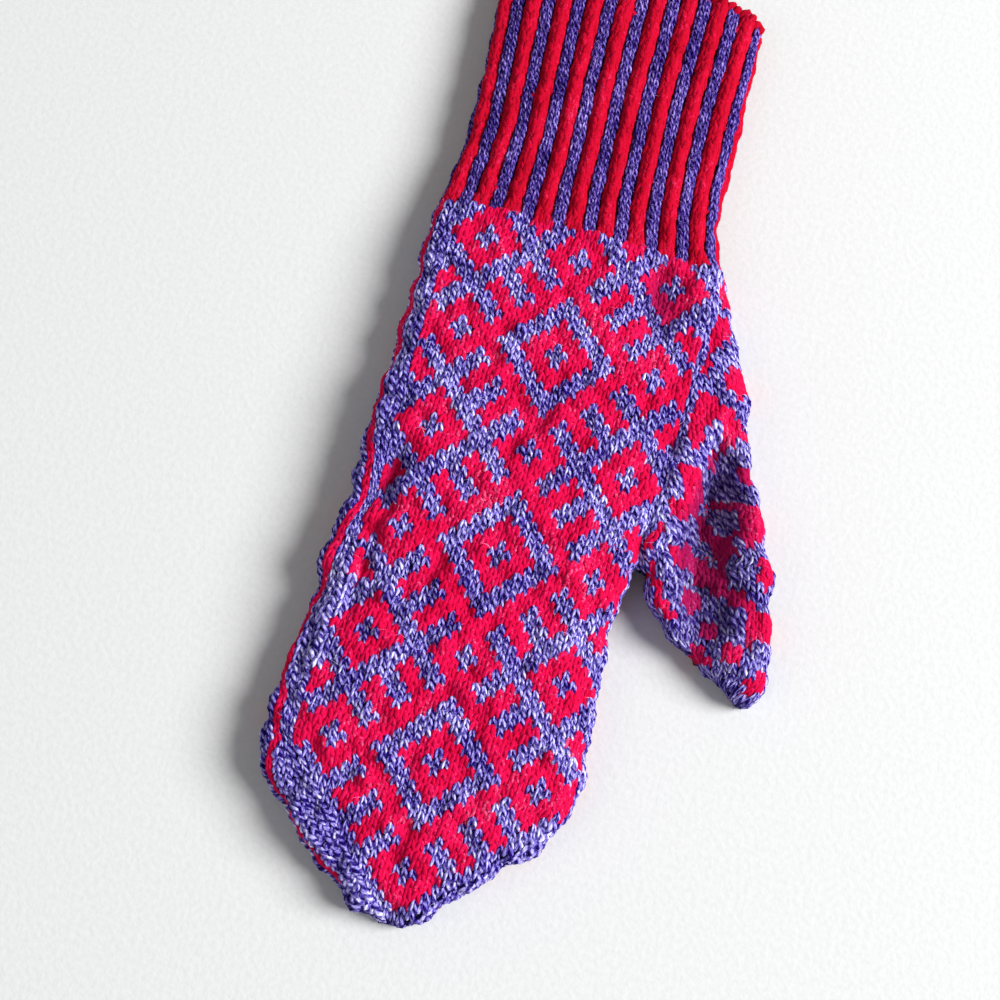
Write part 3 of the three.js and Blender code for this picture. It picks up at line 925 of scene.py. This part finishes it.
def fibre_mesh(name, stitches, rng):
    """Loose curved fibres, thin ribbons that lie over the stitches and stand off a little."""
    count = int(FIBRE_SHARE * len(stitches.column))
    picked = rng.integers(0, len(stitches.column), count)
    column = stitches.column[picked] + rng.uniform(-0.5, 0.5, count) * stitches.width[picked]
    down = stitches.down[picked] + rng.uniform(-0.5, 0.5, count) * stitches.pitch[picked]
    root, normal = stitches.at(column, down)
    turn = rng.uniform(0, TURN, count)[:, None]
    first = unit(np.cross(normal, SKEW))
    second = np.cross(normal, first)
    heading = first * np.cos(turn) + second * np.sin(turn)
    aside = np.cross(normal, heading)
    length = rng.uniform(*FIBRE_LENGTHS, count)[:, None, None]
    bend = rng.normal(0, FIBRE_BEND, count)[:, None, None]
    rise = rng.uniform(*FIBRE_RISES, count)[:, None, None]
    step = np.linspace(0, 1, FIBRE_POINTS)[None, :, None]
    height = FIBRE_HEIGHT + rise * length * step * (FIBRE_PEAK - step)
    line = root[:, None] + normal[:, None] * height
    line = line + heading[:, None] * step * length + aside[:, None] * bend * length * step ** 2
    across = aside[:, None] * FIBRE_WIDTH / 2 * (FIBRE_TAPER - step)
    points = np.stack([line - across, line + across], axis=2)
    # Painted shade of the dents at each fibre's root
    values = {"strand": rng.random(count), "fold": fold_shade(root, normal)}
    return strand_mesh(name, points, FIBRE_FLOOR, middle_only=True, **values)


def edge_mesh(name, tube, rng):
    """The red cast-on edge as a row of thick slanted loops."""
    number = np.arange(EDGE_LOOPS)[:, None] + rng.normal(0, EDGE_WOBBLE, (EDGE_LOOPS, 1))
    depth, rise, slant, thickness = EDGE_LOOP.T
    down = np.full((EDGE_LOOPS, len(EDGE_LOOP)), -CUFF_TOP)
    distance = tube.crests[0, 0] + (number + 0.5 + slant) * tube.value("round", down) / EDGE_LOOPS
    point, normal = tube.at(distance, down)
    centre = point - normal * (depth - EDGE_LIFT)[:, None]
    centre[..., 1] += rise * EDGE_RISE
    along = unit(np.gradient(centre, axis=1))
    side = unit(np.cross(along, np.roll(normal, 1, axis=2) + normal))
    angles = np.arange(EDGE_SPOKES) * TURN / EDGE_SPOKES
    points = rings_round(centre, EDGE_RADIUS * thickness, np.cross(side, along), side, angles)
    strand = rng.random(EDGE_LOOPS)
    return strand_mesh(name, points, STRAND_FLOOR, closed=True, strand=strand)


def strand_faces(count, rings, spokes, closed=False):
    """Faces between the rings of this many strands, whose rings are closed or open."""
    steps = np.arange(spokes if closed else spokes - 1)
    ring, spoke = (grid.ravel() for grid in np.meshgrid(np.arange(rings - 1), steps, indexing="ij"))
    corner, beside = ring * spokes + spoke, ring * spokes + (spoke + 1) % spokes
    quad = np.stack([corner, beside, beside + spokes, corner + spokes], axis=1)
    starts = np.arange(count) * rings * spokes
    return (quad + starts[:, None, None]).reshape(-1, 4)


def strand_mesh(name, points, floor, closed=False, middle_only=False, **values):
    """One mesh of alike strands from points (strand, ring, point of the ring, xyz), kept above
    the table, with values given for each strand. Its UVs run along and round the strands, or
    stay at their middle."""
    count, rings, spokes = points.shape[:3]
    vertex = points.reshape(-1, 3)
    vertex[:, 2] = np.maximum(vertex[:, 2], floor)
    uv = np.meshgrid(np.linspace(0, 1, rings), np.linspace(0, 1, spokes), indexing="ij")
    uv = np.tile(np.stack(uv, axis=2).reshape(-1, 2), (count, 1))
    if middle_only:
        uv = np.full(uv.shape, 0.5)
    faces = strand_faces(count, rings, spokes, closed)
    each_point = {key: np.repeat(value, rings * spokes) for key, value in values.items()}
    return solid_mesh(name, vertex, faces, uv=uv, **each_point)


def solid_mesh(name, vertex, faces, uv=None, **attributes):
    """A mesh object in the row frame from points in the knit frame and faces with four corners."""
    mesh = bpy.data.meshes.new(name)
    placed = (vertex + OFFSET) * MM
    mesh.vertices.add(len(placed))
    mesh.vertices.foreach_set("co", placed.astype(np.float32).ravel())
    mesh.loops.add(faces.size)
    mesh.loops.foreach_set("vertex_index", faces.astype(np.int32).ravel())
    mesh.polygons.add(len(faces))
    mesh.polygons.foreach_set("loop_start", np.arange(0, faces.size, 4, dtype=np.int32))
    mesh.polygons.foreach_set("use_smooth", np.ones(len(faces), bool))
    mesh.update(calc_edges=True)
    if uv is not None:
        layer = mesh.uv_layers.new(name="yarn")
        layer.data.foreach_set("uv", uv[faces.ravel()].astype(np.float32).ravel())
    for key, values in attributes.items():
        layer = mesh.attributes.new(key, "FLOAT", "POINT")
        layer.data.foreach_set("value", values.astype(np.float32))
    mesh.validate()
    piece = bpy.data.objects.new(name, mesh)
    bpy.context.scene.collection.objects.link(piece)
    return piece


def nearest_red(sets, points):
    """1 where the stitch nearest to a point is red, 0 where it is blue."""
    centres = np.concatenate([stitches.at(stitches.column, stitches.down)[0] for stitches in sets])
    red = np.concatenate([stitches.red for stitches in sets])
    tree = KDTree(len(centres))
    for index, centre in enumerate(centres):
        tree.insert(centre, index)
    tree.balance()
    return np.array([red[tree.find(point)[1]] for point in points], float)


def capped(points, normals):
    """The grid of a sleeve with smaller rings that close its far end."""
    centre = points[-1].mean(axis=0)
    caps = [centre + (points[-1] - centre) * share - (0, END_BULGE, 0) for share in CAP_SHARES]
    facing = np.broadcast_to([0.0, -1.0, 0.0], (len(caps), *normals.shape[1:]))
    return np.concatenate([points, caps]), np.concatenate([normals, facing])


def shell_faces(rows, count):
    """Faces of a sleeve: its outer side, its inner side and the rims that join them."""
    total = rows * count
    grid = strand_faces(1, rows, count, closed=True)
    ring = np.arange(count)
    follow = (ring + 1) % count
    last = total - count
    start = np.stack([ring, follow, follow + total, ring + total], axis=1)
    end = np.stack([ring, ring + total, follow + total, follow], axis=1) + last
    return np.concatenate([grid[:, [0, 3, 2, 1]], grid + total, start, end])


def shell_mesh(name, tube, sets, closed):
    """Closed sleeve under the stitches that fills the gaps between them with painted shade, with an
    inner side.
    """
    points = tube.points[::SHELL_STEP, ::SHELL_STEP]
    normals = tube.normals[::SHELL_STEP, ::SHELL_STEP]
    if closed:
        points, normals = capped(points, normals)
    rows, count = points.shape[:2]
    red = nearest_red(sets, points.reshape(-1, 3))
    depth = np.where(red > 0, RED_SHELL_DEPTH, BLUE_SHELL_DEPTH).reshape(rows, count, 1)
    spread = np.minimum(np.ptp(points[..., 0], axis=1), np.ptp(points[..., 2], axis=1))
    inner_depth = np.minimum(INNER_DEPTH, INNER_SHARE * spread)[:, None, None]
    outer = points - normals * np.minimum(depth, inner_depth)
    inner = points - normals * inner_depth
    outer[..., 2] = np.maximum(outer[..., 2], SHELL_FLOOR)
    inner[..., 2] = np.maximum(inner[..., 2], INNER_FLOOR)
    outside, inside = np.zeros(rows * count), np.ones(rows * count)
    return solid_mesh(
        name,
        np.concatenate([outer.reshape(-1, 3), inner.reshape(-1, 3)]),
        shell_faces(rows, count),
        red=np.concatenate([red, red]),
        inside=np.concatenate([outside, inside]),
        # Painted shade of the dents, on the outer side only
        fold=np.concatenate([fold_shade(points, normals).ravel(), outside]),
    )


# Colours of the wool from its darkest to its lightest tone
RED_STOPS = [
    (0.0, (0.20, 0.0, 0.018)), (0.35, (0.545, 0.001, 0.037)), (0.65, (0.66, 0.005, 0.080)),
    (1.0, (0.83, 0.25, 0.46)),
]
BLUE_STOPS = [
    (0.0, (0.005, 0.001, 0.050)), (0.25, (0.013, 0.002, 0.135)), (0.50, (0.134, 0.099, 0.43)),
    (0.72, (0.36, 0.32, 0.75)), (1.0, (0.80, 0.78, 1.0)),
]
# The cuff's ribs: the hand's colours darkened as painted shade of the deep ribs, and the red also less
# pink
RIB_RED_SHADED_STOPS = [
    (0.0, (0.13, 0.0, 0.008)), (0.35, (0.39, 0.001, 0.014)), (0.65, (0.49, 0.002, 0.026)),
    (1.0, (0.68, 0.05, 0.17)),
]
RIB_BLUE_SHADED_STOPS = [
    (0.0, (0.003, 0.0002, 0.030)), (0.25, (0.012, 0.002, 0.09)), (0.50, (0.062, 0.034, 0.25)),
    (0.72, (0.17, 0.115, 0.46)), (1.0, (0.46, 0.37, 0.80)),
]
FLOAT_STOPS = [
    (0.0, (0.05, 0.05, 0.33)), (0.45, (0.11, 0.12, 0.5)), (0.55, (0.6, 0.002, 0.02)),
    (1.0, (0.75, 0.01, 0.04)),
]
FLOOR_STOPS = [(0.3, (0.615, 0.62, 0.62)), (0.7, (0.65, 0.655, 0.655))]
# Dark violet that the painted shade of the dents mixes the colour towards
PAINTED_SHADE_COLOUR = (0.02, 0.006, 0.07, 1)
# Painted shade in the gaps between stitches, on the lining's outer side: a little darker than the red
# wool, much darker than the blue
RED_PAINTED_GAP_SHADE = (0.52, 0.001, 0.045, 1)
BLUE_PAINTED_GAP_SHADE = (0.010, 0.003, 0.06, 1)

# How strongly plies, streaks, fine grain and the painted shade at the strand's edges show, sheen and its
# tint
RED_LOOK = (0.03, 0.45, 0.8, 0.16, 0.05, (1.0, 0.12, 0.32, 1))
BLUE_LOOK = (0.19, 1.1, 0.7, 0.42, 0.03, (0.5, 0.4, 1.0, 1))
CLOUD_SHARE, STRAND_SHARE = 0.5, 0.22
PAINTED_EDGE_SHADE_POWER = 2.5
# Noises: scale, detail and roughness
GRAIN_NOISE, CLOUD_NOISE, STREAK_NOISE = (1500, 3, 0.6), (60, 2, 0.5), (1.0, 2, 0.6)
FELT_NOISE, FLOOR_NOISE = (1300, 3, 0.6), (600, 2, 0.5)
# Turns of the plies along, round and from strand to strand, and how wide their light side is
PLY_TURNS, PLY_LIGHT = (1.7, 1.3, 7.0), 0.5
# Places in the streaks' noise: along, round, slant and from strand to strand
STREAK_ALONG, STREAK_ROUND, STREAK_SLANT, STREAK_STRANDS = 2.2, 5.0, 1.5, 60.0
# Shares of streaks and grain in the wool's relief, of rows and grain in the felt's
WOOL_RELIEF, FELT_RELIEF = (1.2, 0.5), (1.0, 0.5)
# Width of a patch of floats of one colour inside, in metres, and how uneven its rows are
FLOAT_LENGTH, FLOAT_UNEVENNESS = 9.4 * MM, 2.5
WOOL_ROUGHNESS, FELT_ROUGHNESS = 0.9, 0.95
WOOL_BUMP, FELT_BUMP, FLOOR_BUMP = 0.00025, 0.0005, 0.0001
SPECULAR, SHEEN_ROUGHNESS = 0.05, 0.5
FELT_SHEEN, FELT_TINT = 0.1, (0.5, 0.4, 0.8, 1)


class Nodes:
    """Short calls for building a material's node tree."""

    def __init__(self, name):
        self.material = bpy.data.materials.new(name)
        self.material.use_nodes = True
        self.tree = self.material.node_tree
        self.tree.nodes.clear()

    def add(self, kind, inputs=None, **settings):
        node = self.tree.nodes.new(kind)
        for key, value in settings.items():
            setattr(node, key, value)
        for key, value in (inputs or {}).items():
            if isinstance(value, bpy.types.NodeSocket):
                self.tree.links.new(value, node.inputs[key])
            else:
                node.inputs[key].default_value = value
        return node

    def math(self, operation, a, b=0.0, clamp=False):
        node = self.add("ShaderNodeMath", {0: a, 1: b}, operation=operation, use_clamp=clamp)
        return node.outputs[0]

    def weighted(self, *parts):
        """Sum of values times their weights."""
        total = None
        for value, weight in parts:
            part = self.math("MULTIPLY", value, weight)
            total = self.math("ADD", total, part) if total else part
        return total

    def place(self):
        return self.add("ShaderNodeTexCoord").outputs["Object"]

    def noise(self, vector, scale, detail, roughness):
        inputs = {"Vector": vector, "Scale": scale, "Detail": detail, "Roughness": roughness}
        return self.add("ShaderNodeTexNoise", inputs).outputs["Fac"]

    def ramp(self, factor, stops):
        node = self.add("ShaderNodeValToRGB", {"Fac": factor})
        elements = node.color_ramp.elements
        while len(elements) < len(stops):
            elements.new(0.5)
        for element, (position, colour) in zip(elements, stops):
            element.position = position
            element.color = (*colour, 1.0)
        return node.outputs["Color"]

    def mix(self, factor, a, b):
        """Mix of two colours, which are the node's inputs 6 and 7."""
        return self.add("ShaderNodeMix", {0: factor, 6: a, 7: b}, data_type="RGBA").outputs[2]

    def attribute(self, name):
        return self.add("ShaderNodeAttribute", attribute_name=name).outputs["Fac"]

    def folded(self, colour):
        """The colour, darkened by painted shade in the dents."""
        return self.mix(self.weighted((self.attribute("fold"), PAINTED_SHADE_SHARE)), colour, PAINTED_SHADE_COLOUR)

    def finish(self, colour, roughness, bump_height, bump_distance, sheen, tint):
        bump = self.add("ShaderNodeBump", {"Height": bump_height, "Distance": bump_distance})
        shader = self.add("ShaderNodeBsdfPrincipled", {
            "Base Color": colour,
            "Roughness": roughness,
            "Specular IOR Level": SPECULAR,
            "Sheen Weight": sheen,
            "Sheen Roughness": SHEEN_ROUGHNESS,
            "Sheen Tint": tint,
            "Normal": bump.outputs["Normal"],
        })
        self.add("ShaderNodeOutputMaterial", {"Surface": shader.outputs[0]})
        return self.material


def ply_wave(nodes, along, around, strand):
    """Stripes from -1 to 1 that wind round a strand, shifted from strand to strand."""
    turn = nodes.weighted(*zip((along, around, strand), PLY_TURNS))
    wave = nodes.math("SINE", nodes.math("MULTIPLY", turn, TURN))
    wave = nodes.math("ADD", wave, PLY_LIGHT, clamp=True)
    return nodes.math("SUBTRACT", nodes.math("MULTIPLY", wave, 2.0), 1.0)


def streaks(nodes, along, around, strand):
    """Long streaks that run along a strand and slant a little."""
    place = nodes.add("ShaderNodeCombineXYZ", {
        "X": nodes.weighted((along, STREAK_ALONG)),
        "Y": nodes.weighted((around, STREAK_ROUND), (along, STREAK_SLANT)),
        "Z": nodes.weighted((strand, STREAK_STRANDS)),
    })
    return nodes.noise(place.outputs[0], *STREAK_NOISE)


def wool(name, stops, ply, streak, grain, edge, sheen, tint):
    """Plied wool: stripes of the plies wound along the strand, with streaks of fine fibres and painted
    shade along the strand's sides.
    """
    nodes = Nodes(name)
    place = nodes.place()
    uv = nodes.add("ShaderNodeUVMap", uv_map="yarn").outputs["UV"]
    parts = nodes.add("ShaderNodeSeparateXYZ", {"Vector": uv})
    strand = nodes.attribute("strand")
    run = parts.outputs["X"], parts.outputs["Y"], strand
    fine, cloud = nodes.noise(place, *GRAIN_NOISE), nodes.noise(place, *CLOUD_NOISE)
    long = streaks(nodes, *run)
    # Painted shade: darker towards both sides of each strand, where the strands beside it would shade it
    painted_edge_shade = nodes.math("ABSOLUTE", nodes.math("SUBTRACT", parts.outputs["Y"], 0.5))
    painted_edge_shade = nodes.math("POWER", nodes.math("MULTIPLY", painted_edge_shade, 2.0), PAINTED_EDGE_SHADE_POWER)
    noises = (long, streak), (fine, grain), (cloud, CLOUD_SHARE), (strand, STRAND_SHARE)
    tone = nodes.weighted((ply_wave(nodes, *run), ply), *noises, (painted_edge_shade, -edge))
    level = 0.5 - sum(share for _, share in noises) / 2
    colour = nodes.folded(nodes.ramp(nodes.math("ADD", tone, level), stops))
    height = nodes.weighted(*zip((long, fine), WOOL_RELIEF))
    return nodes.finish(colour, WOOL_ROUGHNESS, height, WOOL_BUMP, sheen, tint)


def felt():
    """Felted inner layer: outside, painted shade of the gaps between stitches in the nearest stitch's
    colour; rows of floats inside.
    """
    nodes = Nodes("wool_lining")
    place = nodes.place()
    parts = nodes.add("ShaderNodeSeparateXYZ", {"Vector": place})
    fine = nodes.noise(place, *FELT_NOISE)
    painted_gap_shade = nodes.folded(nodes.mix(nodes.attribute("red"), BLUE_PAINTED_GAP_SHADE, RED_PAINTED_GAP_SHADE))
    row_turn = (parts.outputs["Y"], TURN / (CUFF_PITCH * MM)), (fine, FLOAT_UNEVENNESS)
    rows = nodes.math("SINE", nodes.weighted(*row_turn))
    columns = nodes.math("SINE", nodes.weighted((parts.outputs["X"], TURN / FLOAT_LENGTH)))
    choice = nodes.math("ADD", nodes.weighted((rows, 0.5), (columns, 0.5)), 0.5, clamp=True)
    colour = nodes.mix(nodes.attribute("inside"), painted_gap_shade, nodes.ramp(choice, FLOAT_STOPS))
    height = nodes.weighted(*zip((rows, fine), FELT_RELIEF))
    return nodes.finish(colour, FELT_ROUGHNESS, height, FELT_BUMP, FELT_SHEEN, FELT_TINT)


def pale_floor():
    nodes = Nodes("pale_floor")
    grain = nodes.noise(nodes.place(), *FLOOR_NOISE)
    colour = nodes.ramp(grain, FLOOR_STOPS)
    return nodes.finish(colour, WOOL_ROUGHNESS, grain, FLOOR_BUMP, 0.0, (1, 1, 1, 1))


def clear_scene():
    for item in list(bpy.data.objects):
        bpy.data.objects.remove(item)


def knit_offset():
    """Shift from the knit frame to the row frame, read off the tip and the thumb's outer side."""
    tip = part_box("hand")[0].y / MM - HAND_TABLE[-1][0]
    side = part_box("thumb")[1].x / MM - THUMB_SECTIONS[:, 2].max()
    return np.array([side, tip, 0.0])


# Camera in the knit frame
CAMERA_PLACE = (20.58, -130.24, 404.87)
CAMERA_TARGET = (-3.539, -45.678, 14.0)
CAMERA_LENS = 50.4
CLIP_START = 0.01

# Lights: direction towards the light, distance, size in metres and power
LIGHTS = [
    ("key", (0.85, 0.20, 0.68), 3.0, 1.7, 176.0),
    ("fill", (-0.9, -0.5, 0.9), 3.0, 2.2, 12.0),
]
WORLD_COLOUR = (1.0, 0.99, 0.985, 1)
WORLD_STRENGTH = 0.24
FLOOR_SIZE = 6.0


def add_object(name, data):
    item = bpy.data.objects.new(name, data)
    bpy.context.scene.collection.objects.link(item)
    return item


def to_row(point):
    return Vector((np.array(point) + OFFSET) * MM)


def aim(thing, place, target):
    thing.location = place
    thing.rotation_euler = (target - place).to_track_quat("-Z", "Y").to_euler()


def make_camera():
    camera = add_object("camera", bpy.data.cameras.new("camera"))
    camera.data.lens = CAMERA_LENS
    camera.data.clip_start = CLIP_START
    aim(camera, to_row(CAMERA_PLACE), to_row(CAMERA_TARGET))
    bpy.context.scene.camera = camera


def make_lights():
    for name, direction, distance, size, power in LIGHTS:
        light = add_object(name, bpy.data.lights.new(name, "AREA"))
        light.data.shape = "DISK"
        light.data.size = size
        light.data.energy = power
        aim(light, Vector(direction).normalized() * distance, Vector((0, 0, 0)))
    world = bpy.data.worlds.new("studio")
    world.use_nodes = True
    background = world.node_tree.nodes["Background"]
    background.inputs["Color"].default_value = WORLD_COLOUR
    background.inputs["Strength"].default_value = WORLD_STRENGTH
    bpy.context.scene.world = world
    bpy.context.scene.view_settings.view_transform = "Standard"


def make_floor():
    half = FLOOR_SIZE / 2
    mesh = bpy.data.meshes.new("floor")
    corners = [(-half, -half, 0), (half, -half, 0), (half, half, 0), (-half, half, 0)]
    mesh.from_pydata(corners, [], [(0, 1, 2, 3)])
    mesh.materials.append(pale_floor())
    add_object("floor", mesh)


def finish_piece(piece, material, node):
    piece.data.materials.append(material)
    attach(piece, "root")
    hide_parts(node)


def knit(name, tube, sets, node, yarns, closed=False):
    """The stitches of one tube, a piece for each colour of each set, and the sleeve under them."""
    for colour, material, *shape in yarns:
        chosen = [stitches.keep(stitches.red == (colour == "red")) for stitches in sets]
        chosen = [stitches for stitches in chosen if len(stitches.column)]
        for part, stitches in enumerate(chosen, start=1):
            own_name = f"{name}_{colour}_{part}"
            finish_piece(yarn_mesh(own_name, stitches, *shape, rng), material, node)
            fibres = fibre_mesh(f"{own_name}_fibres", stitches, rng)
            finish_piece(fibres, material, node)
    shell = shell_mesh(f"{name}_lining", tube, sets, closed)
    finish_piece(shell, lining, node)


clear_scene()
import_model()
OFFSET = knit_offset()
make_camera()
make_lights()
make_floor()

rng = np.random.default_rng(STITCH_SEED)
red_wool = wool("red_wool_yarn", RED_STOPS, *RED_LOOK)
blue_wool = wool("blue_wool_yarn", BLUE_STOPS, *BLUE_LOOK)
# The rib yarns are darker copies of the hand's: painted shade of the ribbed cuff
red_rib_wool = wool("red_rib_yarn", RIB_RED_SHADED_STOPS, *RED_LOOK)
blue_rib_wool = wool("blue_rib_yarn", RIB_BLUE_SHADED_STOPS, *BLUE_LOOK)
lining = felt()
hand_yarns = [
    ("red", red_wool, RED_LEG, RED_RADIUS, RED_FLATNESS),
    ("blue", blue_wool, BLUE_LEG, BLUE_RADIUS, BLUE_FLATNESS),
]
rib_yarns = [
    ("red", red_rib_wool, RED_RIB_LEG, RED_RIB_RADIUS, RED_RIB_FLATNESS),
    ("blue", blue_rib_wool, BLUE_RIB_LEG, BLUE_RIB_RADIUS, BLUE_FLATNESS),
]

cuff, palm = cuff_tube(), palm_tube()
fingers = end_tube(HAND_SECTIONS, FINGER_SOFTNESS)
thumb = end_tube(THUMB_SECTIONS, THUMB_SOFTNESS)
finger_sets = [finger_panels(fingers), tip_band(fingers, -1), tip_band(fingers, 1)]
knit("cuff", cuff, [cuff_stitches(cuff)], "ribbed_cuff", rib_yarns)
knit("palm", palm, [palm_stitches(palm), gusset_stitches(palm)], "hand", hand_yarns)
knit("fingers", fingers, finger_sets, "hand", hand_yarns, closed=True)
knit("thumb", thumb, [thumb_stitches(thumb)], "thumb", hand_yarns, closed=True)

edge = edge_mesh("cast_on_loops", cuff, rng)
finish_piece(edge, red_rib_wool, "cast_on_edge")
